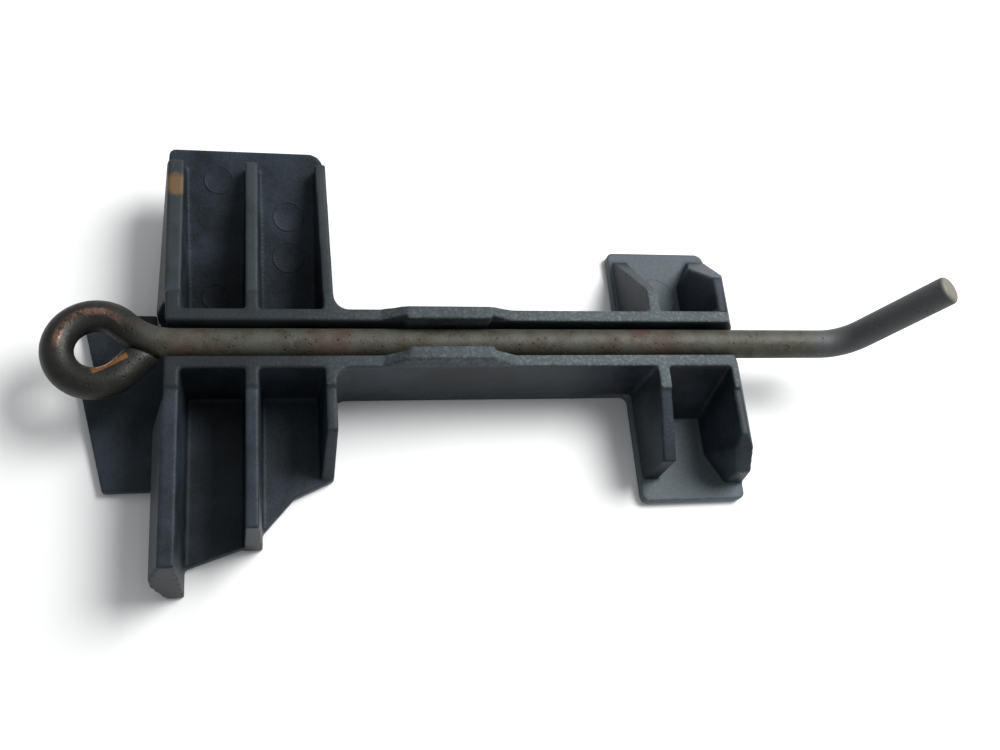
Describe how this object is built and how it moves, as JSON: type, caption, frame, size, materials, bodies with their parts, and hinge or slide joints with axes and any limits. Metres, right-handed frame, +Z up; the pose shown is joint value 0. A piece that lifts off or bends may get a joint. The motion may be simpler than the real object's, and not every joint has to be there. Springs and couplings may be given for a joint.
{
  "type": "shutter holdback",
  "caption": "Ribbed moulded carrier with a wing, a foot and an open snap channel that holds a steel rod with a closed eye at one end and a raised tip at the other.",
  "frame": {"origin": "middle of the foot's underside, straight below the rod's axis", "axes": "+X along the rod from the eye to the raised tip, +Y to the back, where the wing climbs, +Z up out of the channel's open side"},
  "size_m": [0.2354, 0.1169, 0.052],
  "materials": {
    "carrier_plastic": "satin moulded plastic",
    "rod_steel": "weathered plated steel"
  },
  "bodies": {
    "carrier": {"ribbed_carrier": "carrier_plastic"},
    "rod": {"eye_rod": "rod_steel"}
  },
  "joints": [
    {"name": "rod_turn", "type": "hinge", "parent": "carrier", "child": "rod", "pos_m": [0, 0, 0.0207], "axis": [1, 0, 0], "continuous": true}
  ]
}
